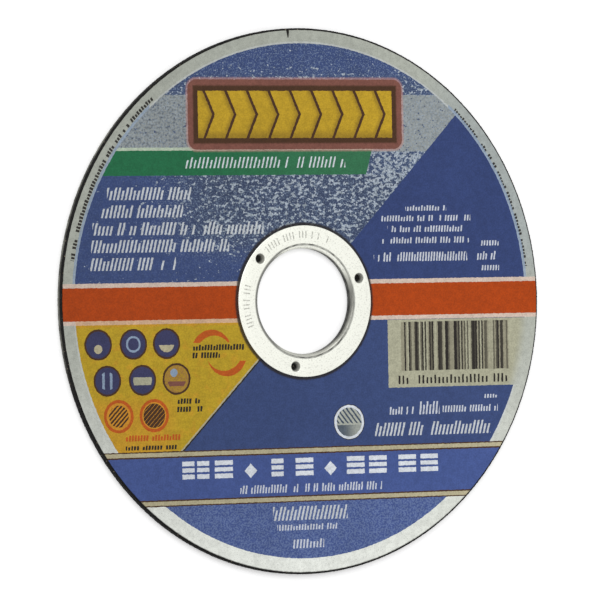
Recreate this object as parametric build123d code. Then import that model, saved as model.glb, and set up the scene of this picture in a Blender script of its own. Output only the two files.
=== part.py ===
from build123d import *
from math import cos, radians, sin, tan
import os

# A flat resin-bonded cut-off disc for an angle grinder.
# Millimetres and degrees. The axis is Z, the disc lies on its back at z = 0 with the label up,
# and the label's lines run along X.

# Wheel
wheel_diameter = 115.0
wheel_thickness = 1.6
rim_edge_break = 0.12

# Arbor ring, pressed from one sheet
bore_diameter = 22.23
ring_sheet = 0.3
flange_diameter = 31.9
flange_edge_break = 0.1
lip_bend_radius = 0.6
clinch_angle = 45.0
clinch_length = 0.35
clinch_above_back = 0.05

# Barbs punched through the flange into the wheel
barb_count = 3
barb_circle_diameter = 27.9
barb_first_angle = 19.5
barb_mouth_diameter = 2.4
barb_mouth_bevel = 0.2
barb_tip_diameter = 1.7
barb_wall = 0.16
barb_length = 0.85

# Paper label
label_thickness = 0.1
label_diameter = 114.2
label_hole_over_lip = 0.3
nick_angle = 92.8
nick_width = 0.5
nick_depth = 1.6

# Glass mesh in the back face
mesh_diameter = 112.6
mesh_hole_over_seat = 0.9
mesh_wall = 0.1
yarn_height = 0.2
yarn_pitch = 9.0
warp_width = 2.0
weft_width = 1.6
mesh_turn = 17.0

# Fits
ring_clearance = 0.05
barb_clearance = 0.04
mesh_clearance = 0.05

# Levels and radii that follow from them
wheel_radius = wheel_diameter / 2
label_top = wheel_thickness
body_top = label_top - label_thickness
flange_top = label_top + ring_sheet
bore_radius = bore_diameter / 2
collar_radius = bore_radius + ring_sheet
lip_radius = collar_radius + lip_bend_radius
body_bore_radius = collar_radius + ring_clearance
barb_tip = label_top - barb_length
mesh_depth = yarn_height + mesh_wall


def polar(radius, angle):
    return radius * cos(radians(angle)), radius * sin(radians(angle))


def around(centre, radius, angle):
    """The place at an angle on a circle about a point."""
    x, y = centre
    dx, dy = polar(radius, angle)
    return x + dx, y + dy


def arc_about(centre, radius, start, end):
    """An arc about a point, from one angle to another."""
    return ThreePointArc(*[around(centre, radius, angle) for angle in (start, (start + end) / 2, end)])


def turned(outline):
    """The solid that a closed outline of radius and height makes about Z."""
    return revolve(Plane.XZ * make_face(outline), Axis.Z)


def annulus(outer_radius, inner_radius, low, high):
    """A flat ring between two heights."""
    return extrude(Pos(0, 0, low) * (Circle(outer_radius) - Circle(inner_radius)), high - low)


def at_barbs(shape):
    """One copy of a shape at each barb."""
    step = 360 / barb_count
    places = [polar(barb_circle_diameter / 2, barb_first_angle + n * step) for n in range(barb_count)]
    return [Pos(x, y, 0) * shape for x, y in places]


def closed(*pieces):
    """Arcs and points in order, joined by straight lines into a closed outline."""
    ends = [(p, p) if isinstance(p, tuple) else (p @ 0, p @ 1) for p in pieces]
    lines = [Line(ends[n - 1][1], ends[n][0]) for n in range(len(pieces))]
    return lines + [p for p in pieces if not isinstance(p, tuple)]


def clinch_bend_height(thickness):
    """Height of the fold that spreads the collar's end, at a depth into the sheet or past it."""
    drop, _ = polar(clinch_length, clinch_angle)
    return clinch_above_back + drop + thickness * tan(radians(clinch_angle / 2))


def pressed_sheet():
    """Flange, rolled lip, collar and clinched end. The lip's hidden underside is two bevels."""
    flange_radius = flange_diameter / 2
    lip = lip_radius, label_top - lip_bend_radius
    underside = [around(lip, lip_bend_radius, angle) for angle in (180, 135, 90)]
    _, spread = polar(clinch_length, clinch_angle)
    end_radius = bore_radius + spread
    across, rise = polar(ring_sheet, clinch_angle)
    return turned(
        closed(
            (flange_radius, label_top),
            (flange_radius, flange_top - flange_edge_break),
            (flange_radius - flange_edge_break, flange_top),
            arc_about(lip, lip_bend_radius + ring_sheet, 90, 180),
            (bore_radius, clinch_bend_height(0)),
            (end_radius, clinch_above_back),
            (end_radius + across, clinch_above_back + rise),
            (collar_radius, clinch_bend_height(ring_sheet)),
            *underside,
        )
    )


def barb_throat_radius():
    return barb_mouth_diameter / 2 - barb_mouth_bevel


def barb_sleeve(clearance=0.0):
    """The outside of a drawn barb, or with a clearance the pit that takes it."""
    root = barb_throat_radius() + barb_wall + clearance
    tip = barb_tip_diameter / 2 + clearance
    low = barb_tip - clearance
    return Pos(0, 0, low) * Cone(tip, root, label_top - low, align=(Align.CENTER, Align.CENTER, Align.MIN))


def barb_void():
    """What the punch leaves open: a bevelled mouth that runs into a tapering throat."""
    return turned(
        closed(
            (0, flange_top),
            (barb_mouth_diameter / 2, flange_top),
            (barb_throat_radius(), flange_top - barb_mouth_bevel),
            (barb_tip_diameter / 2 - barb_wall, barb_tip),
            (0, barb_tip),
        )
    )


def centre_ring():
    """The arbor ring with its three barbs drawn down out of the flange."""
    return pressed_sheet() + at_barbs(barb_sleeve()) - at_barbs(barb_void())


def circle_edges(shape, radius, height):
    """The round edge of a given radius at a given height."""
    rounds = shape.edges().filter_by(GeomType.CIRCLE)
    return [e for e in rounds if abs(e.radius - radius) < 0.001 and abs(e.arc_center.Z - height) < 0.001]


def mesh_bed():
    """The shallow bed in the back face that the glass mesh fills."""
    hole = mesh_hole_radius() - mesh_clearance
    return annulus(mesh_diameter / 2 + mesh_clearance, hole, 0, mesh_depth)


def clinch_seat_height():
    """How far the seat's cone reaches up the hole, so that it clears the spread end."""
    return clinch_bend_height(ring_sheet + ring_clearance)


def clinch_seat_radius():
    return body_bore_radius + clinch_seat_height() * tan(radians(clinch_angle))


def clinch_seat():
    """The cone in the back of the hole that the collar's end is spread into."""
    foot = Align.CENTER, Align.CENTER, Align.MIN
    return Cone(clinch_seat_radius(), body_bore_radius, clinch_seat_height(), align=foot)


def mesh_hole_radius():
    return clinch_seat_radius() + mesh_hole_over_seat


def abrasive_body():
    """The moulded annulus, shaped round the ring in front and the mesh behind."""
    body = annulus(wheel_radius, body_bore_radius, 0, body_top)
    rim = circle_edges(body, wheel_radius, 0) + circle_edges(body, wheel_radius, body_top)
    body = chamfer(rim, rim_edge_break)
    body = chamfer(circle_edges(body, body_bore_radius, body_top), lip_bend_radius - ring_clearance)
    return body - clinch_seat() - mesh_bed() - at_barbs(barb_sleeve(barb_clearance))


def paper_label():
    """The printed washer, with its holes for the barbs and the nick in its edge."""
    label = annulus(label_diameter / 2, lip_radius + label_hole_over_lip, body_top, label_top)
    cutter = Pos(label_diameter / 2, 0, body_top) * Box(2 * nick_depth, nick_width, 4 * label_thickness)
    return label - at_barbs(barb_sleeve(barb_clearance)) - Rot(0, 0, nick_angle) * cutter


def glass_mesh():
    """One resin-filled sheet, with its two sets of yarns standing between the pockets."""
    radius = mesh_diameter / 2
    sheet = annulus(radius, mesh_hole_radius(), 0, mesh_depth)
    across = 2 * int(radius / yarn_pitch + 1)
    grid = GridLocations(yarn_pitch, yarn_pitch, across, across)
    pocket = Box(yarn_pitch - warp_width, yarn_pitch - weft_width, 2 * yarn_height)
    inside = [place for place in grid if mesh_hole_radius() < place.position.length < radius]
    return sheet - [Rot(0, 0, mesh_turn) * place * pocket for place in inside]


def write(shape, name):
    shape.label = name
    export_step(shape, f"parts/{name}.step")


os.makedirs("parts", exist_ok=True)
write(abrasive_body(), "abrasive_body")
write(glass_mesh(), "glass_mesh")
write(paper_label(), "paper_label")
write(centre_ring(), "centre_ring")
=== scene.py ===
from math import atan2, cos, hypot, pi, radians, sin, sqrt, tau

import bmesh
import bpy
from bpy.props import FloatProperty, FloatVectorProperty, PointerProperty
from mathutils import Matrix, Vector, noise


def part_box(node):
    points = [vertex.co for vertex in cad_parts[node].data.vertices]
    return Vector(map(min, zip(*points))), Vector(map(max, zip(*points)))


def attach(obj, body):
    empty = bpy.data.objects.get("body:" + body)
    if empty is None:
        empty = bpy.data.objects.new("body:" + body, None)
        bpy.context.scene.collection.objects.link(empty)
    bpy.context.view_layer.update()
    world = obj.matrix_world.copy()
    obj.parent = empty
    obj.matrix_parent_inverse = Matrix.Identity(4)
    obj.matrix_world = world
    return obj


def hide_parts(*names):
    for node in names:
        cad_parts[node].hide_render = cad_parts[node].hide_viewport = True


bl_info = {
    "name": "Flat cut-off disc",
    "version": (1, 0, 0),
    "blender": (4, 5, 0),
    "location": "View3D > Sidebar > Disc",
    "description": "Dresses the packed model of a thin abrasive disc and sets its stage",
    "category": "Object",
}

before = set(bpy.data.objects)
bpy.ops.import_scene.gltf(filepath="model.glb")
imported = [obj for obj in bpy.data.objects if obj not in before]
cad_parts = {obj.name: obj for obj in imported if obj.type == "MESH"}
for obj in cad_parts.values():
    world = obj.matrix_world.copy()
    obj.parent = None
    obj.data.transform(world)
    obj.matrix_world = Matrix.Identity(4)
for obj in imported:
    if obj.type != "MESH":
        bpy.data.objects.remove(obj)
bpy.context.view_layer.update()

# Meshes are shaped in millimetres and brought to metres when they are finished.
MM = 0.001

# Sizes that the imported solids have, in millimetres
ring_low, ring_high = [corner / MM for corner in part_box("centre_ring")]
label_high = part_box("paper_label")[1] / MM
body_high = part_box("abrasive_body")[1] / MM
mesh_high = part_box("glass_mesh")[1] / MM

wheel_radius = body_high.x
body_top = body_high.z
label_radius = label_high.x
label_top = label_high.z
flange_radius = ring_high.x
flange_top = ring_high.z
ring_foot = ring_low.z
mesh_radius = mesh_high.x
mesh_depth = mesh_high.z

# Sizes that the solids are driven by and their boxes don't give, in millimetres
rim_break = 0.12
bore_radius = 11.115
ring_sheet = 0.3
lip_bend = 0.6
lip_radius = bore_radius + ring_sheet + lip_bend
clinch_reach = 0.2475
clinch_step = 0.2121
inner_fold = 0.2975
outer_fold = 0.4218
body_bore = 11.465
body_bore_break = 0.55
seat_radius = 11.907
seat_height = 0.4425
bed_radius = 56.35
bed_hole = 12.757
mesh_hole = 12.807
label_hole = lip_radius + 0.3
label_barb_hole = 1.17
barb_circle = 13.95
barb_mouth = 1.2
barb_root = 1.16
barb_tip = 0.75
barb_tip_outer = 0.85
barb_tip_inner = 0.69
barb_clearance = 0.04
nick_angle = radians(92.8)
nick_half_width = 0.25
nick_depth = 1.6

barb_angles = [radians(19.5 + 120 * n) for n in range(3)]
barb_places = [(barb_circle * cos(a), barb_circle * sin(a)) for a in barb_angles]

# Finer than the solids have it, in millimetres
barb_rounding = 0.2
flange_rounding = 0.1
flange_foot_break = 0.03
fray = 0.05


def linear(red, green, blue):
    """A colour as a screen shows it, 0 to 255, in the linear values that a shader takes."""
    shares = [value / 255 for value in (red, green, blue)]
    return tuple(s / 12.92 if s <= 0.04045 else ((s + 0.055) / 1.055) ** 2.4 for s in shares)


def length(name, description, millimetres):
    return FloatProperty(
        name=name, description=description, default=millimetres * MM, min=0.0, unit="LENGTH",
        subtype="DISTANCE", precision=5,
    )


def angle(name, description, degrees):
    return FloatProperty(
        name=name, description=description, default=radians(degrees), unit="ROTATION",
        subtype="ANGLE",
    )


def colour(name, description, red, green, blue):
    return FloatVectorProperty(
        name=name, description=description, default=linear(red, green, blue), size=3, min=0.0,
        max=1.0, subtype="COLOR",
    )


class BodySettings(bpy.types.PropertyGroup):
    """Grain and resin of the moulded body."""

    grain_size: length("Grain size", "Distance between the grains on the rim", 0.42)
    grain_relief: length("Grain relief", "Depth of the gaps between the grains", 0.09)
    resin: colour("Resin", "Dark bond between the grains", 17, 16, 15)
    grain: colour("Grain", "Worn faces of the grains", 74, 71, 66)
    glint: colour("Glint", "The few bright grains", 150, 138, 118)
    # Painted sheen: a pale tint on the lower half of the rim's side at the far left, where light
    # glances off it.
    side_sheen: colour("Sheen", "Pale dust on one side of the rim", 148, 148, 138)


class LabelSettings(bpy.types.PropertyGroup):
    """Inks of the printed label."""

    blue: colour("Blue", "Large fields", 57, 73, 117)
    deep_blue: colour("Deep blue", "Field at the upper right, and discs", 51, 66, 112)
    bright_blue: colour("Bright blue", "Band and segment below the centre", 68, 86, 142)
    slate: colour("Slate", "Dark parts of the speckled fields", 66, 78, 94)
    mist: colour("Mist", "Fine sparkle of the speckled fields", 138, 156, 178)
    silver: colour("Silver", "Field beside the top panel", 148, 154, 154)
    green: colour("Green", "Band under the top panel", 34, 104, 68)
    pale_green: colour("Pale green", "Line over the green band", 178, 192, 172)
    red: colour("Red", "Band across the middle", 170, 66, 14)
    pale_line: colour("Pale line", "Lines round the red band", 207, 188, 174)
    ochre: colour("Ochre", "Field at the lower left", 184, 154, 40)
    orange: colour("Orange", "Warm parts of the ochre field", 206, 142, 44)
    rust: colour("Rust", "Marks on the ochre field", 186, 88, 30)
    yellow: colour("Yellow", "Shapes in the top panel", 186, 152, 40)
    brown: colour("Brown", "Frame of the top panel", 122, 78, 68)
    pale_brown: colour("Pale brown", "Soft edge of the top panel's frame", 184, 138, 130)
    umber: colour("Umber", "Dark parts of the panels", 70, 46, 30)
    dark: colour("Dark", "Dark lines and marks", 38, 34, 32)
    gold: colour("Gold", "Two lines round the lower band", 178, 170, 140)
    white: colour("White", "Marks and lines", 214, 219, 226)
    panel: colour("Panel", "Light panel at the right", 168, 167, 144)
    # The two margin colours differ partly by the paper's own tone, partly by painted light on the
    # lower edge.
    margin_top: colour("Upper margin", "Bare paper along the upper edge", 172, 176, 166)
    margin_low: colour("Lower margin", "Bare paper along the lower edge", 236, 239, 232)


class RingSettings(bpy.types.PropertyGroup):
    """Tinned sheet of the arbor ring."""

    tin: colour("Tin", "Bright tinned face", 242, 243, 233)
    # Also lays painted shade: the lip greyer to the right and bottom and deeper in the bore, and
    # the barbs' throats.
    scuffs_and_shade: colour("Scuffed tin", "Scuffs, stamped ticks and the shaded collar", 168, 168, 160)
    # Painted shade: a dark line at the lip, the darker lower right and left edge of the lip, the
    # collar's lower part and the barbs' throats.
    tin_shade: colour("Shaded tin", "Dark lines at the lip and foot, and the barbs' throats", 58, 58, 56)


class MeshSettings(bpy.types.PropertyGroup):
    """Glass mesh and resin of the back."""

    yarn_pitch: length("Yarn pitch", "Distance between neighbouring yarns", 9.0)
    warp_width: length("Warp width", "Width of a pair of twisted strands", 2.0)
    weft_width: length("Weft width", "Width of a straight strand", 1.6)
    turn: angle("Turn", "Turn of the weave about the axis", 17)
    glass: colour("Glass yarn", "Resin-soaked glass fibre", 96, 84, 62)
    fibre: colour("Bared fibre", "Fibres where the yarn stands proud", 168, 156, 126)
    resin: colour("Resin", "Dark resin film between the yarns", 34, 31, 28)
    grit: colour("Grit", "Grains and scuffs in the resin film", 86, 80, 72)


class StageSettings(bpy.types.PropertyGroup):
    """Floor, light and camera."""

    floor: colour("Floor", "Pale floor", 244, 244, 244)
    sky_light: FloatProperty(
        name="Sky light", description="Strength of the even light from all round", default=0.62,
    )
    lamp_power: FloatProperty(
        name="Lamp power", description="Power of the soft overhead lamp", default=5.0, unit="POWER",
    )
    lamp_size: length("Lamp size", "Side of the square lamp", 900.0)
    yaw: angle("Yaw", "Camera's turn to the side from straight above", 29.184)
    roll: angle("Roll", "Camera's turn about its own axis", 1.043)
    distance: length("Distance", "From the camera to the label", 1270.92)
    lens: FloatProperty(
        name="Lens", description="Focal length in millimetres", default=362.37, unit="CAMERA",
    )


# Shaders

# Sockets of a Mix node that are its colour ones
MIX_FACTOR, MIX_BASE, MIX_OVER, MIX_RESULT = 0, 6, 7, 2


def operator(operation, flipped=False):
    """A method of Wire that adds a Math node, with its inputs the other way round if flipped."""

    def method(self, other):
        return self.nodes.math(operation, *((other, self) if flipped else (self, other)))

    return method


class Wire:
    """A socket in a shader sum. Python operators on it add Math nodes."""

    def __init__(self, nodes, socket):
        self.nodes = nodes
        self.socket = socket

    __add__ = __radd__ = operator("ADD")
    __sub__ = operator("SUBTRACT")
    __rsub__ = operator("SUBTRACT", flipped=True)
    __mul__ = __rmul__ = operator("MULTIPLY")
    __truediv__ = operator("DIVIDE")
    __rtruediv__ = operator("DIVIDE", flipped=True)
    __gt__ = operator("GREATER_THAN")
    __lt__ = operator("LESS_THAN")
    __or__ = __ror__ = operator("MAXIMUM")
    __and__ = __rand__ = operator("MINIMUM")

    def __abs__(self):
        return self.nodes.math("ABSOLUTE", self)


class Nodes:
    """The nodes of one material or world, with the sums, masks and mixes that are made of them."""

    def __init__(self, owner, surface, settings):
        owner.use_nodes = True
        self.owner = owner
        self.tree = owner.node_tree
        self.surface = self.tree.nodes[surface]
        self.settings = settings

    def node(self, kind, settings=None, sockets=None, output=0):
        """Adds a node, sets it and then feeds its sockets, and gives one of its outputs."""
        made = self.tree.nodes.new(kind)
        for key, value in (settings or {}).items():
            setattr(made, key, value)
        for key, value in (sockets or {}).items():
            self.feed(made.inputs[key], value)
        return Wire(self, made.outputs[output])

    def feed(self, socket, value):
        """Links a wire to a socket, or sets its value. A string names a colour of the settings."""
        if isinstance(value, str):
            value = getattr(self.settings, value)
        if isinstance(value, Wire):
            self.tree.links.new(value.socket, socket)
        elif socket.type == "RGBA":
            socket.default_value = (*value, 1.0)
        else:
            socket.default_value = value

    def finish(self, **sockets):
        """Feeds the surface's sockets, named with _ for each space, and gives their owner."""
        for key, value in sockets.items():
            self.feed(self.surface.inputs[key.replace("_", " ")], value)
        return self.owner

    def outputs(self, wire):
        """All outputs of the node that a wire comes from."""
        return [Wire(self, output) for output in wire.socket.node.outputs]

    def math(self, operation, *values):
        return self.node("ShaderNodeMath", {"operation": operation}, dict(enumerate(values)))

    def vector(self, operation, *values, output=0):
        values = dict(enumerate(values))
        return self.node("ShaderNodeVectorMath", {"operation": operation}, values, output)

    def scaled(self, vector, by):
        """A vector or a colour times a number."""
        values = {"Vector": vector, "Scale": by}
        return self.node("ShaderNodeVectorMath", {"operation": "SCALE"}, values)

    def parts(self, vector):
        return self.outputs(self.node("ShaderNodeSeparateXYZ", sockets={0: vector}))

    def joined(self, x=0.0, y=0.0, z=0.0):
        return self.node("ShaderNodeCombineXYZ", sockets={0: x, 1: y, 2: z})

    def floor(self, value):
        return self.math("FLOOR", value)

    def fraction(self, value):
        return self.math("FRACT", value)

    def near(self, value, middle, reach):
        return self.math("COMPARE", value, middle, reach)

    def ramp(self, value, start, end, low=0.0, high=1.0):
        """A smooth rise from low at start to high at end."""
        values = {"Value": value, "From Min": start, "From Max": end, "To Min": low, "To Max": high}
        return self.node("ShaderNodeMapRange", {"interpolation_type": "SMOOTHSTEP"}, values)

    def chance(self, *parts):
        """A number from 0 to 1 that is the same wherever its parts are."""
        values = {"Vector": self.joined(*parts)}
        return self.node("ShaderNodeTexWhiteNoise", sockets=values, output="Value")

    def over(self, base, mask, shade):
        """A colour laid over another through a mask."""
        values = {MIX_FACTOR: mask, MIX_BASE: base, MIX_OVER: shade}
        return self.node("ShaderNodeMix", {"data_type": "RGBA"}, values, MIX_RESULT)

    def blend(self, base, mask, value):
        """A number that turns into another through a mask."""
        return base + mask * (value - base)

    def bump(self, height, depth, strength=1.0):
        values = {"Height": height, "Distance": depth * MM, "Strength": strength}
        return self.node("ShaderNodeBump", sockets=values, output="Normal")


class Paint(Nodes):
    """One finish of the disc: a base colour, and what is laid over it in millimetres."""

    def __init__(self, name, settings, base):
        super().__init__(bpy.data.materials.new(name), "Principled BSDF", settings)
        self.point = self.scaled(self.node("ShaderNodeTexCoord", output="Object"), 1 / MM)
        self.x, self.y, self.z = self.parts(self.point)
        self.shade = base

    def lay(self, mask, shade):
        """Lays a colour over what is there, where the mask lets it through."""
        self.shade = self.over(self.shade, mask, shade)

    def tone(self, by):
        """Brightens or darkens what is there."""
        self.shade = self.scaled(self.shade, by)

    def finish(self, **sockets):
        return super().finish(Base_Color=self.shade, **sockets)

    def noise(self, scale, detail=2.0, vector=None, output="Fac"):
        values = {"Vector": vector or self.point, "Scale": scale, "Detail": detail}
        return self.node("ShaderNodeTexNoise", sockets=values, output=output)

    def grains(self, size):
        """How far the nearest grain's middle is, and a number from 0 to 1 that each grain has."""
        values = {"Vector": self.point, "Scale": 1 / size}
        distance, tint, *_ = self.outputs(self.node("ShaderNodeTexVoronoi", sockets=values))
        return distance, self.parts(tint)[0]

    def away(self, x=0.0, y=0.0):
        """The distance from an upright line, or from the disc's axis."""
        flat = self.joined(self.x, self.y)
        return self.vector("DISTANCE", flat, (x, y, 0.0), output="Value")

    def turn(self):
        """The angle about the disc's axis, in degrees."""
        return self.math("ARCTAN2", self.y, self.x) * (180 / pi)


# Meshes

# How far apart the points of two neighbouring sectors may be to be joined, in millimetres
seam_reach = 0.004


def turned(bm, points, steps, centre=(0.0, 0.0), doublings=0):
    """
    A line through points of radius and height, turned once round an upright axis, or turned
    through a sector that is doubled up to the full turn.
    """
    x, y = centre
    known = set(bm.faces)
    verts = [bm.verts.new((x + radius, y, height)) for radius, height in points]
    edges = [bm.edges.new(pair) for pair in zip(verts, verts[1:])]
    bmesh.ops.spin(
        bm, geom=verts + edges, cent=(x, y, 0.0), axis=(0.0, 0.0, 1.0), dvec=(0.0, 0.0, 0.0),
        angle=tau / 2**doublings, steps=steps, use_merge=doublings == 0, use_duplicate=False,
    )
    shell = [face for face in bm.faces if face not in known]
    for n in range(doublings, 0, -1):
        copied = bmesh.ops.duplicate(bm, geom=shell)["geom"]
        verts = [item for item in copied if isinstance(item, bmesh.types.BMVert)]
        turn = Matrix.Rotation(tau / 2**n, 3, "Z")
        bmesh.ops.rotate(bm, verts=verts, cent=(x, y, 0.0), matrix=turn)
        shell += [item for item in copied if isinstance(item, bmesh.types.BMFace)]
    if doublings:
        seams = [vert for vert in bm.verts if vert.is_boundary]
        bmesh.ops.remove_doubles(bm, verts=seams, dist=seam_reach)


def filled(bm, edges):
    """Fills the flat, level face that edges bound."""
    bmesh.ops.triangle_fill(bm, use_beauty=True, edges=edges, normal=(0.0, 0.0, 1.0))


def level(bm, height):
    """Fills the flat face that the open edges at one height bound."""
    open_edges = [edge for edge in bm.edges if edge.is_boundary]
    filled(bm, [e for e in open_edges if all(abs(v.co.z - height) < 1e-4 for v in e.verts)])


def arc(centre, radius, start, end, steps):
    """Points on an arc of a section, from one angle to another."""
    r, z = centre
    angles = [radians(start + (end - start) * n / steps) for n in range(steps + 1)]
    return [(r + radius * cos(a), z + radius * sin(a)) for a in angles]


def steps_between(start, end, count):
    """Points spread evenly from one point to another, both included."""
    (r0, z0), (r1, z1) = start, end
    shares = [n / count for n in range(count + 1)]
    return [(r0 + (r1 - r0) * s, z0 + (z1 - z0) * s) for s in shares]


def tidied(bm):
    """Merges doubled points and turns every face outward."""
    bmesh.ops.remove_doubles(bm, verts=bm.verts, dist=1e-4)
    bmesh.ops.recalc_face_normals(bm, faces=bm.faces)


def lay_map(bm, place):
    """Writes the piece's own picture map. place gives a corner's spot from its face and point."""
    layer = bm.loops.layers.uv.new("OFBake")
    for face in bm.faces:
        for loop in face.loops:
            loop[layer].uv = place(face, loop.vert.co)


def corner_spot(co, radius):
    """Where a picture map keeps the side that isn't seen: small, in the upper right corner."""
    return 0.93 + co.x * 0.06 / radius, 0.93 + co.y * 0.06 / radius


def stood(bm, name, node, materials, sharp=35.0):
    """Puts a finished mesh in the scene as the piece that stands for a CAD node."""
    bmesh.ops.scale(bm, vec=(MM, MM, MM), verts=bm.verts)
    mesh = bpy.data.meshes.new(name)
    bm.to_mesh(mesh)
    bm.free()
    mesh.shade_smooth()
    mesh.set_sharp_from_angle(angle=radians(sharp))
    for material in materials:
        mesh.materials.append(material)
    obj = bpy.data.objects.new(name, mesh)
    bpy.context.scene.collection.objects.link(obj)
    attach(obj, "root")
    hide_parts(node)


# Moulded body

RIM_STEPS = 63
RIM_DOUBLINGS = 5
HUB_STEPS = 192
BARB_STEPS = 32
RIM_ROWS = 11

# The rim's section: the middle that its grains are sunk towards, where its rows of points start
# under the label, and where they get close
rim_middle = Vector((56.4, 0.0, 0.75))
rim_start = 56.6
rim_close = 57.0

# Where the label hides the body's top, and what the hole's row of the picture map turns about
hidden_from, hidden_to = 12.1, 56.7
hole_turn = 13.2


def rim_section():
    """The body's outer section, from under the label's edge round to the mesh's bed."""
    edge = wheel_radius - rim_break
    shoulder = body_top - rim_break
    return [
        (rim_start, body_top),
        *steps_between((rim_close, body_top), (edge, body_top), 3),
        (wheel_radius - rim_break / 2, body_top - rim_break / 2),
        *steps_between((wheel_radius, shoulder), (wheel_radius, rim_break), 8),
        (wheel_radius - rim_break / 2, rim_break / 2),
        *steps_between((edge, 0.0), (bed_radius, 0.0), 7),
        (bed_radius, mesh_depth),
    ]


def hub_section():
    """The body's inner section, from the mesh's bed through the hole to its top corner."""
    return [
        (bed_hole, mesh_depth),
        *steps_between((bed_hole, 0.0), (seat_radius, 0.0), 3),
        *steps_between((body_bore, seat_height), (body_bore, body_top - body_bore_break), 3),
        (lip_radius, body_top),
    ]


def roughen(bm, size, relief):
    """Sinks the gaps between the grains into the rim. Nothing stands out past the solid."""
    for vert in bm.verts:
        radius = hypot(vert.co.x, vert.co.y)
        bare = label_radius - fray if vert.co.z > 1.0 else bed_radius + 0.02
        if radius <= bare:
            continue
        near, next_near = noise.voronoi(vert.co / size)[0][:2]
        gap = 1 - min(1.0, 2.2 * (next_near - near))
        worn = 0.5 + 0.5 * noise.noise(vert.co / (3 * size))
        outward = Vector((vert.co.x / radius, vert.co.y / radius, 0.0))
        middle = outward * rim_middle.x + Vector((0.0, 0.0, rim_middle.z))
        vert.co += (middle - vert.co).normalized() * relief * (0.1 + 0.7 * gap + 0.2 * worn)


def body_spot(face, co):
    """The rim unrolled in rows, the hole in one more, and the hidden faces in the last."""
    centre = face.calc_center_median()
    radius, here = hypot(centre.x, centre.y), hypot(co.x, co.y)
    share = atan2(centre.y, centre.x) / tau % 1
    turn = (atan2(co.y, co.x) / tau - share + 0.5) % 1 - 0.5 + share
    row_height = 1 / (RIM_ROWS + 2)
    under_label = centre.z > 1.4 and hidden_from < radius < hidden_to
    in_bed = 0.2 < centre.z < 0.4
    hidden = abs(face.normal.z) > 0.9 and (under_label or in_bed)
    if radius > 30 and not hidden:
        row = int(share * RIM_ROWS)
        up = 0.5 + atan2(co.z - rim_middle.z, here - rim_middle.x + 0.1) / pi
        return 0.01 + 0.98 * (turn * RIM_ROWS - row), (row + 0.04 + 0.92 * up) * row_height
    if radius < 13 and not hidden:
        up = 0.5 + atan2(co.z - rim_middle.z, hole_turn - here) / pi
        return 0.01 + 0.98 * turn, (RIM_ROWS + 0.04 + 0.92 * up) * row_height
    side = 0.0 if face.normal.z > 0 else 0.5
    spread = 0.9 * row_height / (2 * wheel_radius)
    return 0.1 + side + co.x * spread, (RIM_ROWS + 1.5) * row_height + co.y * spread


def grit_paint(settings):
    """Dark resin bond with worn grain, glinting here and there, with painted shade towards the
    bottom and a painted sheen at the far left of the rim.
    """
    paint = Paint("grit", settings, "resin")
    grains, picked = paint.grains(settings.grain_size / MM)
    worn = paint.ramp(grains, 0.42, 0.12)
    blotches = paint.noise(0.35, 4)
    paint.lay(worn * paint.ramp(picked, 0.35, 1, 0.05, 0.6), "grain")
    paint.lay(worn * paint.ramp(picked, 0.88, 0.92, 0, 0.8), "glint")
    # Random mottling of the tone, and painted shade: the rim darkens towards the bottom, from y -10
    # to -45, down to half its brightness.
    paint.tone(paint.ramp(blotches, 0.3, 0.7, 0.75, 1.3) * paint.ramp(paint.y, -10, -45, 1, 0.5))
    # Painted sheen: a pale tint, in blotches, on the lower half of the rim's side at the far left.
    side_sheen = paint.ramp(paint.y * 0.3 - paint.x * 0.95, 46, 54) * paint.ramp(paint.z, 1, 0.62)
    paint.lay(side_sheen * paint.ramp(blotches, 0.35, 0.6, 0.3, 0.8), "side_sheen")
    fine = paint.noise(9, 3)
    return paint.finish(
        Roughness=paint.ramp(fine + picked * 0.4, 0.3, 1, 0.5, 0.85),
        Normal=paint.bump(grains * 0.8 + fine * 0.35, 0.14, 0.9),
        Specular_IOR_Level=0.18,
    )


class DISC_OT_grit_wheel(bpy.types.Operator):
    """Moulded abrasive body with its grainy rim, in place of the plain solid"""

    bl_idname = "disc.grit_wheel"
    bl_label = "Grit wheel"

    def execute(self, context):
        settings = context.scene.disc_body
        bm = bmesh.new()
        pit_foot = barb_tip - barb_clearance
        taper = (barb_root - barb_tip_outer) / (label_top - barb_tip)
        pit_mouth = barb_root + barb_clearance - taper * (label_top - body_top)
        pit = [(pit_mouth, body_top), (barb_tip_outer + barb_clearance, pit_foot), (0.0, pit_foot)]
        for place in barb_places:
            turned(bm, pit, BARB_STEPS, place)
        turned(bm, hub_section(), HUB_STEPS)
        turned(bm, rim_section(), RIM_STEPS, doublings=RIM_DOUBLINGS)
        level(bm, body_top)
        level(bm, mesh_depth)
        tidied(bm)
        roughen(bm, settings.grain_size / MM, settings.grain_relief / MM)
        bm.normal_update()
        lay_map(bm, body_spot)
        stood(bm, "grit_wheel", "abrasive_body", [grit_paint(settings)], 60.0)
        return {"FINISHED"}


# Label

LABEL_STEPS = 1440
LABEL_MAP_REACH = 0.486

# Edges of the print's fields, in millimetres from the axis or from the line across it
ink_bleed = 0.12
field_radius = 54.28
segment_radius = 54.1
silver_top = 43.4
upper_foot = 3.97
lower_top = -3.79
band_middle = -36.45
blocks_middle = -34.8
segment_top = -42.2


def label_spot(face, co):
    """The printed face seen from above, its edges folded flat round it, the rest in a corner."""
    radius = hypot(co.x, co.y)
    scale = LABEL_MAP_REACH / label_radius
    centre = face.calc_center_median()
    on_barb_circle = abs(hypot(centre.x, centre.y) - barb_circle) < 2
    if face.normal.z < -0.5 or on_barb_circle and centre.z < label_top:
        return corner_spot(co, label_radius)
    fold = 1 + (label_top - co.z) * (2.0 if radius > 30 else -2.0) / radius
    return 0.5 + co.x * fold * scale, 0.5 + co.y * fold * scale


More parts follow.
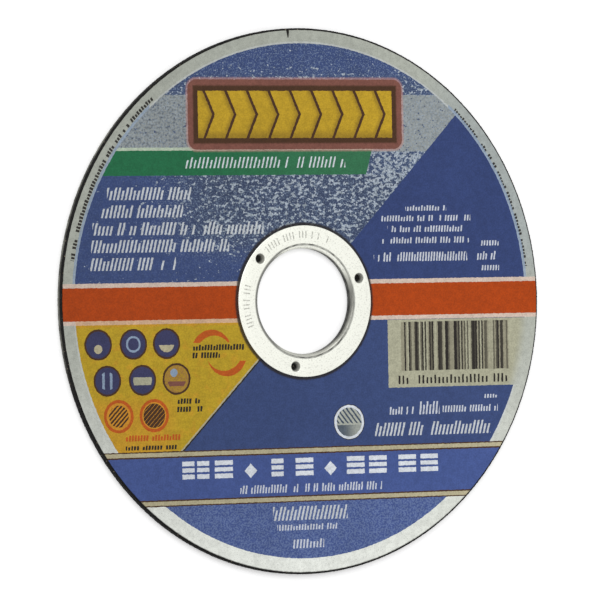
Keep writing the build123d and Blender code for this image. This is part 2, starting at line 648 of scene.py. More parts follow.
class Print(Paint):
    """The label's print: fields, bands, discs and rows of strokes, with slightly uneven edges."""

    def __init__(self, inks):
        super().__init__("print", inks, "margin_top")
        drift = self.noise(1.6, 1, output="Color")
        spread = (2 * ink_bleed, 2 * ink_bleed, 0)
        edge = self.vector("MULTIPLY_ADD", drift, spread, self.point)
        place = self.vector("ADD", edge, (-ink_bleed, -ink_bleed, 0))
        self.x, self.y, self.z = self.parts(place)
        self.radius = self.away()
        self.inside = self.radius < field_radius
        self.fleck = self.noise(1.3, 1, self.vector("MULTIPLY", place, (0.85, 1.2, 1)))
        self.fine = self.noise(3, 2)

    def box(self, x0, x1, y0, y1):
        across = self.near(self.x, (x0 + x1) / 2, (x1 - x0) / 2)
        return across * self.near(self.y, (y0 + y1) / 2, (y1 - y0) / 2)

    def disc(self, x, y, radius):
        return self.away(x, y) < radius

    def discs(self, x, y, *discs):
        """Lays discs one on another about a point, and gives the distance from it."""
        away = self.away(x, y)
        for radius, shade in discs:
            self.lay(away < radius, shade)
        return away

    def strokes(self, rows, pitch, fill, slant, gaps=0.15):
        """Rows of long and short slanted strokes, with gaps between groups of them."""
        shown, seed, rise = 0, 0, 0
        for number, (x0, x1, low, high) in enumerate(rows, 1):
            mask = self.box(x0, x1, low, high)
            shown = mask + shown
            seed = mask * number + seed
            rise = mask * ((self.y - low) / (high - low)) + rise
        along = (self.x - self.y * slant) / pitch
        dice = self.chance(self.floor(along), seed, 3)
        top = (dice > 0.4) * 0.5 + 0.74
        return shown * (self.fraction(along) < fill) * (dice > gaps) * (rise < top)


def print_margin(ink):
    """Bare paper along the edge, with fine ticks and a pale line. Gives the paper's colour, painted
    lighter towards the lower edge.
    """
    # The margin lightens from the upper edge towards the lower one: partly the paper's own tone,
    # partly painted light.
    low = ink.ramp(ink.y, 0, -57)
    low = low - ink.ramp(ink.x, 10, 40, 0, 0.2) * ink.ramp(ink.y, -20, -40)
    ink.lay(low, "margin_low")
    ink.lay(ink.ramp(ink.fine, 0.56, 0.66, 0, 0.3), "dark")
    ink.lay(ink.ramp(ink.x, 25, 45) * ink.ramp(ink.y, 0, 12) * 0.25, "mist")
    paper = ink.shade
    turn = ink.turn()
    sides = ink.near(turn, 150, 20.5) | ink.near(turn, 27, 20)
    tick = turn * 1.35
    dice = ink.chance(ink.floor(tick), 1)
    ring = ink.radius - (ink.x < 0) * 0.4
    ticks = (ink.fraction(tick) < 0.7) * (dice > 0.15) * ink.near(ring, 55, 0.45)
    ink.lay(ticks * (ring < dice * 0.5 + 55.1) * sides * 0.97, "dark")
    ink.lay(ink.near(ink.radius, 54.45, 0.2) * 0.3, "white")
    return paper


def print_upper(ink):
    """Blue that breaks up into silver at the top and is speckled under the green band."""
    x, y = ink.x, ink.y
    cap = ink.ramp(y, 52, 44, 0.06, 0.34)
    stone = ink.ramp(x, -50, -12, 0.02, 0.4) * ink.ramp(y, 6, 17, 0.3, 1)
    stone = stone + ink.ramp(x, 12, 22, 0, 0.16) * (y > 17.5)
    silver = ink.near(y, 37.4, 6)
    in_cap = y > silver_top
    share = ink.blend(ink.blend(stone, in_cap, cap), silver, 0.9)
    worm = ink.fleck * 0.75 + ink.fine * 0.25 + ink.noise(0.5, 1) * 0.25
    flecks = ink.ramp(worm + share * 0.4, 0.81, 0.87)
    sparkle = ink.blend(ink.ramp(share, 0.05, 0.3, 0.1, 0.5), in_cap, 0.42)
    sparkle = ink.ramp(ink.noise(3.6, 1), 0.5, 0.66) * sparkle
    deep = ink.over("blue", ink.ramp(share, 0.1, 0.4, 0, 0.5), "slate")
    deep = ink.over(deep, ink.ramp(share, 0.1, 0.35, 0, 0.22) * (y < 26.6), "dark")
    broken = 1 - silver
    pale = ink.over("silver", ink.ramp(ink.fine, 0.42, 0.66, 0, 0.65) * broken, "white")
    pale = ink.over(pale, broken * 0.4, "mist")
    field = ink.over(ink.over(deep, flecks, pale), sparkle, "mist")
    mottled = ink.ramp(ink.noise(1.9, 2), 0.42, 0.68, 0, 0.55) * silver
    field = ink.over(field, mottled * ink.ramp(x, 5, 25, 1, 0.5), "slate")
    upper = ink.inside * (y > upper_foot)
    ink.lay(upper, field)
    ink.lay(upper * ((x * 1.036 - y) > -0.06), "deep_blue")
    ink.lay(ink.inside * ink.near(y, 32.1, 0.33) * (x < 17.4), "pale_green")
    green = ink.over("green", ink.ramp(x, -30, 16, 0, 0.04), "pale_green")
    ink.lay(ink.inside * ink.near(y, 29.2, 2.6) * ((x - y * 0.288) < 7.84), green)


def print_panel(ink):
    """Upright panel at the top: a brown frame round a row of plain yellow chevrons."""
    x, y = ink.x, ink.y
    across, up = abs(x + 1.3), abs(y - 39.3)
    past = ink.vector("MAXIMUM", ink.joined(across - 23.7, up - 5.3), (0, 0, 0))
    out = ink.vector("LENGTH", past, output="Value") - 2
    ink.lay(ink.ramp(out, 0.7, 0.2) * 0.6, "pale_brown")
    ink.lay(out < 0.05, "brown")
    edge = (across - 25.7) | (up - 7.3)
    ink.lay(ink.ramp(edge, -0.95, -1.5), "umber")
    part = ink.fraction((x + up * 0.45) / 5.15)
    shown = (part < 0.87) * (edge < -2.35)
    ink.lay(shown, "yellow")
    ink.lay(shown * (ink.ramp(part, 0.62, 0.87) | ink.ramp(y, 36.5, 34.6)) * 0.4, "umber")


def print_captions(ink):
    """Rows of plain strokes where such a label carries its captions."""
    large = (
        (-46.3, -26.5, 21.6, 24.2), (-48.3, -28.5, 17.9, 20.5), (-49.8, -9.5, 14.3, 16.9),
        (-50.2, -17.8, 10.7, 13.3), (-50.5, -30.5, 7, 9.6), (16.5, 45, -28.9, -26.1),
        (-8.5, 9.5, -46, -43.1),
    )
    on_green = ((-28, 10.5, 28.1, 30.4),)
    small = (
        (25, 35, 18.8, 19.9), (18.5, 41, 16.6, 17.8), (20.5, 39, 14.3, 15.6),
        (19, 40.5, 11.9, 13.2), (17, 40, 8.1, 10), (43.5, 47, -21.4, -20.6),
        (19.5, 26.8, -24.4, -22.8), (33.3, 47, -24.2, -22.8), (-7.5, 8.5, -48.1, -46.9),
        (-16.2, 18, -40.1, -38.4), (43.4, 47.9, 11.2, 12.3), (42.4, 48.3, 8.2, 10),
        (43.4, 47.9, 5.9, 7),
    )
    ungapped = (-4, 3.7, -51.9, -50.1), (27.5, 32.5, -24.5, -21.8)
    soft = ink.over("white", 0.3, "margin_top")
    for rows, pitch, fill, slant, gaps, strength, shade in (
        (large, 0.92, 0.5, 0.26, 0.09, 0.9, soft),
        (on_green, 0.95, 0.38, 0.26, 0.2, 0.9, "white"),
        (small, 0.68, 0.52, 0.12, 0.15, 0.82, "white"),
        (ungapped, 0.8, 0.5, 0.12, 0, 0.8, "white"),
    ):
        ink.lay(ink.strokes(rows, pitch, fill, slant, gaps) * strength, shade)


def print_middle(ink):
    """Red band across the middle between two pale lines, out to the label's edge."""
    ink.lay(ink.near(ink.y, 0.08, 4.3), "pale_line")
    ink.lay(ink.near(ink.y, -4, 0.7) * (ink.x < -6) * ink.inside * 0.4, "orange")
    ink.lay(ink.near(ink.y, 0.05, 3.42), "red")


def print_ochre(ink):
    """Ochre field with its discs of plain shapes."""
    x, y = ink.x, ink.y
    slope = x - y
    field = ink.inside * ink.near(y, -17.7, 13.8)
    for edge, shade in ((1.45, "dark"), (1, "gold"), (0.55, "ochre")):
        ink.lay(field * (slope < edge), shade)
    warm = ink.ramp(y, -18, -22, 0, 0.45) * ink.ramp(x, -29, -35)
    warm = warm | ink.ramp(ink.noise(0.5, 2), 0.5, 0.7, 0, 0.3)
    ink.lay(field * (slope < 0.55) * warm, "orange")
    fill = ink.over("deep_blue", 0.35, "umber")
    for place in ((-49, -8.3), (-40.8, -8.3), (-33, -8.3), (-47, -15.8), (-38.8, -15.8)):
        ink.discs(*place, (3.2, "umber"), (2.8, fill))
    ink.lay(ink.disc(-49, -9.2, 0.95), "gold")
    ink.lay(ink.near(ink.away(-40.8, -8.3), 1.5, 0.22), "mist")
    ink.lay(ink.disc(-33, -8.3, 1.8) * (y < -8.6), "gold")
    ink.lay(ink.disc(-47, -15.8, 1.9) * ink.near(abs(x + 47), 0.9, 0.3), "mist")
    ink.lay(ink.disc(-38.8, -15.8, 2.2) * ink.near(y, -16, 0.8), "panel")
    tan = ink.over("yellow", ink.ramp(ink.fine, 0.35, 0.65, 0.15, 0.7), "brown")
    away = ink.discs(-30.8, -15.7, (3.3, "umber"), (2.85, tan))
    ink.lay(ink.disc(-31.4, -14.4, 0.85), "mist")
    ink.lay((away < 2.2) * ink.near(y, -16.7, 0.5), "brown")
    for cx, width, reach in ((-44.5, 0.55, 2.3), (-36.2, 0.87, 2.55)):
        away = ink.discs(cx, -23.2, (3.45, "rust"), (2.8, "orange"))
        ink.lay((away < reach) * (ink.fraction(slope) < width), "umber")
    for outer, hollow, half in (
        ((-22.4, -10.4), (-21.8, -11.3), y > -8.3), ((-18.8, -10.6), (-19.5, -9.8), y < -12.2),
    ):
        ink.lay(ink.disc(*outer, 4.8) * (ink.away(*hollow) > 4.45) * half, "rust")
    rows = (
        (-27, -14.6, -9.9, -8.7), (-27, -20.5, -11.5, -10.3), (-30.8, -25, -20.9, -19.8),
        (-30.8, -24.6, -22.6, -21.5), (-43, -29.5, -30.3, -29.4), (-43, -30, -28.4, -27.2),
    )
    strokes = ink.strokes(rows, 0.68, 0.68, 0.1)
    ink.lay(strokes, ink.over("dark", ink.near(y, -27.8, 0.8), "rust"))


def print_right(ink, paper):
    """Light panel with its bars, and the hatched disc beside the rows below it."""
    x, y = ink.x, ink.y
    panel = (x > 20.1) * ink.near(y, -11.5, 7.2)
    ink.lay(panel, paper)
    ink.lay(panel * ink.ramp(ink.radius, 55.3, 52.4), "panel")
    dice = ink.chance(ink.floor(x / 0.36), 5)
    dark = ink.ramp(dice, 0.36, 0.46) * ink.ramp(dice, 0.36, 0.9, 0.5, 1)
    bars = ink.box(23.3, 49.9, -15.2, -4.8)
    ink.lay(bars * ink.ramp(dice, 0.08, 0.25) * 0.34, "umber")
    ink.lay(bars * dark, "dark")
    ink.lay(ink.strokes([(22, 49.5, -18, -16.2)], 0.98, 0.45, 0), "dark")
    face = 3.05
    away = ink.discs(10.3, -25.7, (3.75, "dark"), (3.6, "white"), (face, "margin_top"))
    hatch = ink.fraction((x + y * 0.8) / 1.1)
    ink.lay((away < face) * (y > -26) * (hatch < 0.42), "slate")
    ink.lay((away < face) * (y < -26.3) * ink.ramp(x, 12.6, 8.6, 0.25, 0.9), "slate")


def print_lower(ink, paper):
    """Band of barred blocks between two gold lines, and the segment below it."""
    x, y = ink.x, ink.y
    for reach, shade in (
        (5.75, "umber"), (5.5, "gold"), (4.65, "umber"), (4.35, "bright_blue"),
    ):
        ink.lay(ink.near(y, band_middle, reach), shade)
    below = y < segment_top
    ink.lay(below * (ink.radius > segment_radius), paper)
    segment = below * (ink.radius < segment_radius)
    ink.lay(segment, "bright_blue")
    ink.lay(segment * ink.ramp(ink.fine, 0.4, 0.6, 0, 0.28), "mist")
    gaps = ink.near(abs(y - blocks_middle), 0.66, 0.22)
    blocks = 0
    narrow, wide = (-28.4, -24.9, -7.2), (-20, -0.7, 11.7, 17.1, 24.3, 29.7)
    for middles, half in ((narrow, 1.45), (wide, 2.15)):
        for middle in middles:
            blocks = ink.near(x, middle, half) + blocks
    ink.lay(blocks * (1 - gaps) * ink.near(y, blocks_middle, 1.85), "white")
    for middle in (-13.6, 5.6):
        ink.lay((abs(x - middle) + abs(y + 35.3)) < 1.5, "white")


def label_paint(inks):
    """The whole print, from the bare paper up, with its wear, painted shadow round the ring and
    along the lower edge, and a faint painted sheen.
    """
    ink = Print(inks)
    paper = print_margin(ink)
    print_upper(ink)
    ink.lay(ink.inside * (ink.y < lower_top), "blue")
    print_ochre(ink)
    print_right(ink, paper)
    print_lower(ink, paper)
    print_middle(ink)
    print_panel(ink)
    print_captions(ink)
    side_line = ink.near(ink.radius, 54.58, 0.3) * (abs(ink.x) > 36) * (ink.y > 4.4)
    ink.lay(side_line * 0.8, "mist")
    # Painted shadow: a dark ring on the label round the edge of the arbor ring's flange.
    ink.lay(ink.ramp(ink.radius, 16.85, 16.35) * 0.92, "dark")
    # Painted shade: the label's outer edge darkens along the bottom.
    low_edge_shade = ink.ramp(ink.radius, 56.82, 57.08) * ink.ramp(ink.y, -32, -52)
    ink.lay(low_edge_shade * 0.8, "dark")
    # Painted light: the print brightens from left to right as a painted sheen, and the two noises
    # vary its tone at random.
    sheen_and_fade = ink.ramp(ink.x, -60, 60, 0.93, 1.13)
    sheen_and_fade = sheen_and_fade * ink.ramp(ink.noise(0.06, 3), 0.3, 0.7, 0.96, 1.04)
    sheen_and_fade = sheen_and_fade * ink.ramp(ink.noise(0.9, 2), 0.3, 0.7, 0.93, 1.07)
    ink.tone(sheen_and_fade * ink.ramp(ink.fine, 0.25, 0.75, 0.86, 1.12))
    grain = ink.noise(1.8, 3)
    return ink.finish(
        Roughness=ink.ramp(grain, 0.3, 0.7, 0.5, 0.68),
        Normal=ink.bump(grain + ink.noise(7, 2) * 0.3, 0.05, 0.6),
        Specular_IOR_Level=0.15,
    )


class DISC_OT_label(bpy.types.Operator):
    """Printed paper label with its nick, in place of the plain solid"""

    bl_idname = "disc.label"
    bl_label = "Label"

    def execute(self, context):
        bm = bmesh.new()
        bmesh.ops.create_circle(bm, segments=LABEL_STEPS, radius=label_radius)
        for vert in bm.verts:
            turn = atan2(vert.co.y, vert.co.x)
            off_nick = abs((turn - nick_angle + pi) % tau - pi) * label_radius
            frayed = fray + fray * noise.noise(vert.co / 0.8)
            depth = nick_depth if off_nick < nick_half_width else frayed
            vert.co *= 1 - depth / label_radius
        bmesh.ops.create_circle(bm, segments=HUB_STEPS, radius=label_hole)
        for x, y in barb_places:
            place = Matrix.Translation((x, y, 0.0))
            bmesh.ops.create_circle(bm, segments=BARB_STEPS, radius=label_barb_hole, matrix=place)
        bmesh.ops.translate(bm, verts=bm.verts, vec=(0.0, 0.0, body_top))
        filled(bm, bm.edges)
        raised = bmesh.ops.extrude_face_region(bm, geom=bm.faces)["geom"]
        top = [item for item in raised if isinstance(item, bmesh.types.BMVert)]
        bmesh.ops.translate(bm, verts=top, vec=(0.0, 0.0, label_top - body_top))
        tidied(bm)
        lay_map(bm, label_spot)
        stood(bm, "label", "paper_label", [label_paint(context.scene.disc_label)])
        return {"FINISHED"}


# Arbor ring

RING_STEPS = 64
RING_DOUBLINGS = 2
RING_MAP_REACH = 0.485


def ring_sections():
    """The pressed sheet's flange edge, and its lip, its collar and the collar's way back up."""
    lip = lip_radius, label_top - lip_bend
    edge = flange_radius - flange_rounding, flange_top - flange_rounding
    spread = bore_radius + clinch_reach
    return [
        (flange_radius - flange_foot_break, label_top),
        (flange_radius, label_top + flange_foot_break),
        *arc(edge, flange_rounding, 0, 90, 5),
    ], [
        *arc(lip, lip_bend + ring_sheet, 90, 180, 14),
        *steps_between((bore_radius, 0.8), (bore_radius, inner_fold), 3),
        (spread, ring_foot),
        (spread + clinch_step, ring_foot + clinch_step),
        (bore_radius + ring_sheet, outer_fold),
        *arc(lip, lip_bend, 180, 90, 6),
    ]


def ring_spot(face, co):
    """
    The flange seen from above, with the lip and collar folded flat inside it. The hidden faces
    lie small in the middle, and so do the barbs' walls that look towards the disc's axis.
    """
    centre = face.calc_center_median()
    radius, middle = hypot(co.x, co.y), hypot(centre.x, centre.y)
    scale = RING_MAP_REACH / flange_radius
    from_barb = min(hypot(centre.x - x, centre.y - y) for x, y in barb_places)
    barb_side = from_barb < barb_mouth + 0.01 and face.normal.dot(centre) >= -9
    inner_side = middle < lip_radius and face.normal.xy.dot(centre.xy) <= 1e-6
    outer_edge = middle > flange_radius - 0.05
    if not (face.normal.z > 0.5 or inner_side or outer_edge or barb_side):
        return 0.5 + co.x * scale * 0.42, 0.5 + co.y * scale * 0.42
    drop = 1.6 * (flange_top - co.z) if middle < lip_radius else 0.0
    out = 0.6 * (flange_top - co.z) if outer_edge else 0.0
    fold = (radius - drop + out) / radius
    return 0.5 + co.x * scale * fold, 0.5 + co.y * scale * fold


def tin_paint(settings):
    """Bright tin: finely speckled, with stamped ticks; painted shade greys the lip and collar and
    darkens a line at the lip and the barbs' throats.
    """
    paint = Paint("tin", settings, "tin")
    x, y, z = paint.x, paint.y, paint.z
    radius, turn = paint.away(), paint.turn()
    speckle = paint.noise(2.6, 3)
    paint.lay(paint.ramp(speckle, 0.5, 0.72, 0, 0.45), "scuffs_and_shade")
    streaks = paint.noise(1.2, 3, paint.joined(radius * 4, turn * 0.12, z))
    paint.lay(paint.ramp(streaks, 0.55, 0.75, 0, 0.25), "scuffs_and_shade")
    tick = turn * 0.32
    stamped = paint.near(radius, 14.05, 0.75) * (paint.fraction(tick) < 0.36)
    stamped = stamped * (paint.chance(paint.floor(tick), 2) > 0.3)
    stamped = stamped * (paint.near(turn, 97, 33) | paint.near(abs(turn), 172, 16))
    paint.lay(stamped * paint.ramp(speckle, 0.35, 0.6, 0.4, 0.95), "scuffs_and_shade")
    # Painted shade: the inner lip is greyed on its right, its bottom and its lower right, as if
    # turned from the light, and greyer still deeper in the bore.
    shaded_side = paint.ramp(x, 8.6, 11.4)
    inner = paint.ramp(radius, 12.12, 11.7)
    worn = shaded_side | paint.ramp(y, -9, -11.4, 0, 0.7)
    worn = worn | paint.ramp(x - y * 0.6, 4, 11, 0, 0.85)
    paint.lay(inner * worn, "scuffs_and_shade")
    paint.lay(inner * paint.ramp(z, 1.6, 0.95) * 0.7, "scuffs_and_shade")
    # Painted shade: the lower right of the lip is darkened further.
    lower_right_shade = inner * paint.ramp(x * 0.95 - y * 0.25, 8.3, 10.7)
    paint.lay(lower_right_shade * paint.ramp(streaks, 0.35, 0.6, 0.62, 0.46), "tin_shade")
    # Painted shade: a dark line where the flange rolls into the lip, weaker on the right and gone
    # on the left.
    line = paint.ramp(abs(radius - 11.93), 0.3, 0.12) * (z > 1.7)
    line = line * (1 - shaded_side * 0.5) * paint.ramp(x, -9, -5)
    paint.lay(line * paint.ramp(streaks, 0.35, 0.6, 1, 0.5), "tin_shade")
    # Painted shadow: the lip's edge darkened on the left.
    left_lip_shadow = paint.ramp(radius, 12.15, 11.8) * paint.ramp(x, -4, -8)
    paint.lay(left_lip_shadow * 0.78, "tin_shade")
    # Painted shade: the collar darkens lower down on the right side of the bore.
    collar = inner * paint.ramp(z, 1.45, 1.2) * paint.ramp(x, 0, 5)
    paint.lay(collar * paint.ramp(streaks, 0.35, 0.6, 1, 0.7), "tin_shade")
    # Painted shade: the barbs' throats are greyed below the mouth and darken with depth.
    first, second, third = [paint.away(*place) for place in barb_places]
    throat = ((first & second & third) < barb_mouth + 0.04) * (z < 1.89)
    paint.lay(throat * 0.8, "scuffs_and_shade")
    paint.lay(throat * paint.ramp(z, 1.5, 0.8, 0, 0.8), "tin_shade")
    return paint.finish(
        Metallic=1 - throat * 0.85,
        Roughness=paint.ramp(speckle, 0.3, 0.7, 0.3, 0.44),
        Normal=paint.bump(speckle * 0.4 - stamped, 0.04, 0.5),
    )


class DISC_OT_arbor_ring(bpy.types.Operator):
    """Pressed and tinned arbor ring with its three barbs, in place of the plain solid"""

    bl_idname = "disc.arbor_ring"
    bl_label = "Arbor ring"

    def execute(self, context):
        bm = bmesh.new()
        barb = [
            *arc((barb_mouth, flange_top - barb_rounding), barb_rounding, 90, 180, 5),
            (barb_tip_inner, barb_tip),
            (barb_tip_outer, barb_tip),
            (barb_root, label_top),
        ]
        for place in barb_places:
            turned(bm, barb, BARB_STEPS, place)
        for points in ring_sections():
            turned(bm, points, RING_STEPS, doublings=RING_DOUBLINGS)
        level(bm, flange_top)
        level(bm, label_top)
        tidied(bm)
        lay_map(bm, ring_spot)
        stood(bm, "arbor_ring", "centre_ring", [tin_paint(context.scene.disc_ring)])
        return {"FINISHED"}


# Glass mesh

FILM_STEPS = 40
FILM_DOUBLINGS = 4
FILM_ROWS = 76
BACK_MAP_REACH = 0.486

# Resin film and strands, in millimetres
film_grain = 0.42
film_start = 0.2
strand_thickness = 0.13
strand_step = 0.9
strand_end = 0.75
weft_height = 0.105
warp_height = 0.1
warp_sway = 0.025


def from_yarns(co, settings):
    """How far a point is from the nearest yarn's line in each of the two sets."""
    turn, pitch = settings.turn, settings.yarn_pitch / MM
    across = co.x * cos(turn) + co.y * sin(turn)
    along = co.y * cos(turn) - co.x * sin(turn)
    return [abs((place + pitch / 2) % pitch - pitch / 2) for place in (across, along)]


def film_depth(co, settings):
    """Height of the resin's surface: low between the yarns and drawn up against them."""
    off_warp, off_weft = from_yarns(co, settings)
    warp, weft = settings.warp_width / MM / 2, settings.weft_width / MM / 2
    off = min(off_warp - warp, off_weft - weft)
    fillet = min(1.0, max(0.0, off / 0.8))
    pebble = noise.noise(co / 0.9) * 0.5 + noise.noise(co / 0.45) * 0.3
    return 0.1 + 0.1 * fillet * fillet * (3 - 2 * fillet) + 0.035 * pebble * (0.4 + 0.6 * fillet)


def strand(bm, settings, wide, path, sides=10, glass=0):
    """One flattened strand along a path of points, in one of the two glass materials."""
    rows = len(path) - 1
    made = bmesh.ops.create_grid(bm, x_segments=sides, y_segments=rows, size=1.0)["verts"]
    turn = Matrix.Rotation(settings.turn, 3, "Z")
    for vert in made:
        side = round((vert.co.x + 1) / 2 * sides)
        row = round((vert.co.y + 1) / 2 * rows)
        around = tau * side / sides
        taper = 0.35 if row in (0, rows) else 1.0
        centre, cross = path[row]
        rise = Vector((0.0, 0.0, strand_thickness / 2 * sin(around) * taper))
        offset = cross * (wide / 2 * cos(around) * taper) + rise
        vert.co = turn @ (centre + offset)
        for face in vert.link_faces:
            face.material_index = glass
    bmesh.ops.remove_doubles(bm, verts=made, dist=1e-4)


def runs(offset, radius, hole):
    """The stretches of a straight line at an offset that lie between two circles."""
    reach = sqrt(radius * radius - offset * offset)
    if abs(offset) >= hole:
        return [(-reach, reach)]
    gap = sqrt(hole * hole - offset * offset)
    return [(-reach, -gap), (gap, reach)]


def weave(bm, settings):
    """The straight strands of one set, and across them the other's pairs that twist round them."""
    pitch = settings.yarn_pitch / MM
    warp, weft = settings.warp_width / MM, settings.weft_width / MM
    to_side, to_end = Vector((1.0, 0.0, 0.0)), Vector((0.0, 1.0, 0.0))
    count = int((mesh_radius - warp / 2) / pitch)
    for line in range(-count, count + 1):
        offset = line * pitch
        for low, high in runs(offset, mesh_radius - strand_end, mesh_hole + strand_end):
            steps = int((high - low) / strand_step)
            spots = [low + (high - low) * n / steps for n in range(steps + 1)]
            straight = [(Vector((s, offset, weft_height)), to_end) for s in spots]
            strand(bm, settings, weft, straight)
            for side in (1, -1):
                path = []
                for s in spots:
                    wave = side * cos(pi * s / pitch)
                    place = offset + wave * warp / 4, s, warp_height + warp_sway * wave
                    path.append((Vector(place), to_side))
                strand(bm, settings, warp / 2, path, 8, 1)


def back_spot(face, co):
    """The face seen from below, and the hidden side small in a corner."""
    if face.normal.z > 0.3:
        return corner_spot(co, mesh_radius)
    scale = BACK_MAP_REACH / mesh_radius
    return 0.5 + co.x * scale, 0.5 - co.y * scale


def resin_paint(settings):
    """Dark resin film with grains showing through, matt where it is thin and worn."""
    paint = Paint("resin", settings, "resin")
    grains, picked = paint.grains(film_grain)
    cloud = paint.noise(0.18, 4)
    shown = paint.ramp(grains, 0.42, 0.12) * paint.ramp(picked, 0.2, 1, 0, 0.85)
    paint.lay(shown, "grit")
    paint.tone(paint.ramp(cloud, 0.35, 0.65, 0.6, 1.5))
    scuff = paint.noise(1.5, 4, paint.vector("MULTIPLY", paint.point, (1, 0.25, 1)))
    paint.lay(paint.ramp(scuff, 0.58, 0.75, 0, 0.3), "grit")
    fine = paint.noise(6, 3)
    return paint.finish(
        Roughness=paint.ramp(cloud + fine * 0.4, 0.5, 1, 0.32, 0.62),
        Normal=paint.bump(grains * 0.6 + fine * 0.4, 0.1, 0.9),
        Specular_IOR_Level=0.4,
    )


def glass_paint(settings, name, lie):
    """Resin-soaked strands: fine fibres that run along the yarn, bared where it stands proud."""
    paint = Paint(name, settings, "glass")
    turn = settings.turn + lie
    along = paint.x * cos(turn) + paint.y * sin(turn)
    across = paint.y * cos(turn) - paint.x * sin(turn)
    fibres = paint.noise(1, 3, paint.joined(along * 0.35, across * 9, paint.z * 9))
    soaked = paint.noise(0.5, 3)
    bared = paint.ramp(paint.z, 0.09, 0.03)
    paint.lay(paint.ramp(fibres, 0.35, 0.6, 0.75, 0), "resin")
    paint.lay(paint.ramp(fibres, 0.55, 0.72) * bared * 0.55, "fibre")
    paint.lay(paint.ramp(soaked, 0.5, 0.68, 0, 0.7), "resin")
    return paint.finish(
        Roughness=paint.ramp(fibres, 0.3, 0.7, 0.36, 0.6),
        Normal=paint.bump(fibres, 0.05, 0.8),
        Specular_IOR_Level=0.4,
    )


class DISC_OT_glass_back(bpy.types.Operator):
    """Glass mesh in its resin film on the back, in place of the plain solid"""

    bl_idname = "disc.glass_back"
    bl_label = "Glass back"

    def execute(self, context):
        settings = context.scene.disc_mesh
        film = bmesh.new()
        section = [
            (mesh_hole, mesh_depth),
            *steps_between((mesh_hole, film_start), (mesh_radius, film_start), FILM_ROWS),
            (mesh_radius, mesh_depth),
        ]
        turned(film, section, FILM_STEPS, doublings=FILM_DOUBLINGS)
        for vert in film.verts:
            if vert.co.z < mesh_depth - 0.01:
                vert.co.z = film_depth(vert.co, settings)
        level(film, mesh_depth)
        tidied(film)
        lay_map(film, back_spot)
        stood(film, "resin_film", "glass_mesh", [resin_paint(settings)])
        yarns = bmesh.new()
        weave(yarns, settings)
        bmesh.ops.holes_fill(yarns, edges=[e for e in yarns.edges if e.is_boundary], sides=12)
        tidied(yarns)
        lay_map(yarns, back_spot)
        weft = glass_paint(settings, "weft_glass", 0.0)
        warp = glass_paint(settings, "warp_glass", pi / 2)
        stood(yarns, "glass_yarns", "glass_mesh", [weft, warp])
        return {"FINISHED"}


# Stage

# In metres: half the floor's side, how far it lies below the disc, and where the lamp hangs
floor_reach = 4.0
floor_drop = 0.05 * MM
lamp_place = Vector((-0.25, 0.5, 1.0))

# Light that the floor adds for the camera alone, and the middle of the camera's view in millimetres
floor_lift = 0.3
aim_across, aim_up = -0.940, 0.234


def floor_paint(settings):
    """Pale floor that shades as paper does, and is lifted to white where the camera sees it."""
    floor = Nodes(bpy.data.materials.new("floor"), "Principled BSDF", settings)
    seen = floor.node("ShaderNodeLightPath", output="Is Camera Ray")
    return floor.finish(
        Base_Color="floor",
        Roughness=0.9,
        Specular_IOR_Level=0.0,
        Emission_Color=floor.scaled((floor_lift, floor_lift, floor_lift), seen),
        Emission_Strength=1.0,
    )


def studio(settings):
    """Even light from all round, white where the camera or a glossy surface looks at it."""
    sky = Nodes(bpy.data.worlds.new("studio"), "Background", settings)
    camera, glossy, clear = [
        sky.node("ShaderNodeLightPath", output=f"Is {ray} Ray")
        for ray in ("Camera", "Glossy", "Transmission")
    ]
    strength = sky.blend(settings.sky_light, camera | glossy | clear, 1.0)
    return sky.finish(Color=(1.0, 1.0, 1.0), Strength=strength)


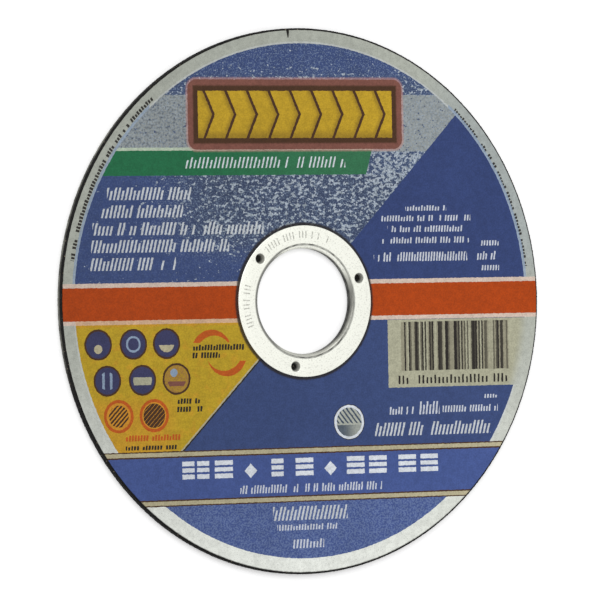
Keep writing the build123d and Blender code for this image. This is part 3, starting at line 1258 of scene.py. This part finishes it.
class DISC_OT_stage(bpy.types.Operator):
    """Pale floor, soft light and the camera"""

    bl_idname = "disc.stage"
    bl_label = "Stage"

    def execute(self, context):
        scene = context.scene
        settings = scene.disc_stage
        bm = bmesh.new()
        bmesh.ops.create_grid(bm, x_segments=1, y_segments=1, size=floor_reach)
        bmesh.ops.translate(bm, verts=bm.verts, vec=(0.0, 0.0, -floor_drop))
        mesh = bpy.data.meshes.new("floor")
        bm.to_mesh(mesh)
        bm.free()
        mesh.materials.append(floor_paint(settings))
        floor = bpy.data.objects.new("floor", mesh)
        scene.collection.objects.link(floor)
        scene.world = studio(settings)
        light = bpy.data.lights.new("soft_lamp", "AREA")
        light.energy = settings.lamp_power
        light.size = settings.lamp_size
        lamp = bpy.data.objects.new("soft_lamp", light)
        aimed = lamp_place.to_track_quat("Z", "Y").to_matrix().to_4x4()
        lamp.matrix_world = Matrix.Translation(lamp_place) @ aimed
        scene.collection.objects.link(lamp)
        lens = bpy.data.cameras.new("camera")
        lens.lens = settings.lens
        lens.clip_end = 20.0
        camera = bpy.data.objects.new("camera", lens)
        turn = Matrix.Rotation(settings.roll, 3, "Z") @ Matrix.Rotation(settings.yaw, 3, "Y")
        back = turn.transposed() @ Vector((aim_across * MM, aim_up * MM, settings.distance))
        back.z += label_top * MM
        camera.matrix_world = Matrix.Translation(back) @ turn.transposed().to_4x4()
        scene.collection.objects.link(camera)
        scene.camera = camera
        scene.view_settings.view_transform = "Standard"
        return {"FINISHED"}


class DISC_PT_panel(bpy.types.Panel):
    """Lists the disc's pieces and their settings"""

    bl_idname = "DISC_PT_panel"
    bl_label = "Cut-off disc"
    bl_space_type = "VIEW_3D"
    bl_region_type = "UI"
    bl_category = "Disc"

    def draw(self, context):
        for piece, name, group in LISTED:
            self.layout.operator(piece.bl_idname)
            for setting in group.__annotations__:
                self.layout.prop(getattr(context.scene, name), setting)


LISTED = (
    (DISC_OT_grit_wheel, "disc_body", BodySettings),
    (DISC_OT_label, "disc_label", LabelSettings),
    (DISC_OT_arbor_ring, "disc_ring", RingSettings),
    (DISC_OT_glass_back, "disc_mesh", MeshSettings),
    (DISC_OT_stage, "disc_stage", StageSettings),
)


def register():
    for piece, name, group in LISTED:
        bpy.utils.register_class(group)
        setattr(bpy.types.Scene, name, PointerProperty(type=group))
        bpy.utils.register_class(piece)
    bpy.utils.register_class(DISC_PT_panel)


def unregister():
    bpy.utils.unregister_class(DISC_PT_panel)
    for piece, name, group in reversed(LISTED):
        bpy.utils.unregister_class(piece)
        delattr(bpy.types.Scene, name)
        bpy.utils.unregister_class(group)


def main():
    register()
    bpy.ops.disc.grit_wheel()
    bpy.ops.disc.label()
    bpy.ops.disc.arbor_ring()
    bpy.ops.disc.glass_back()
    bpy.ops.disc.stage()


if __name__ == "__main__":
    main()
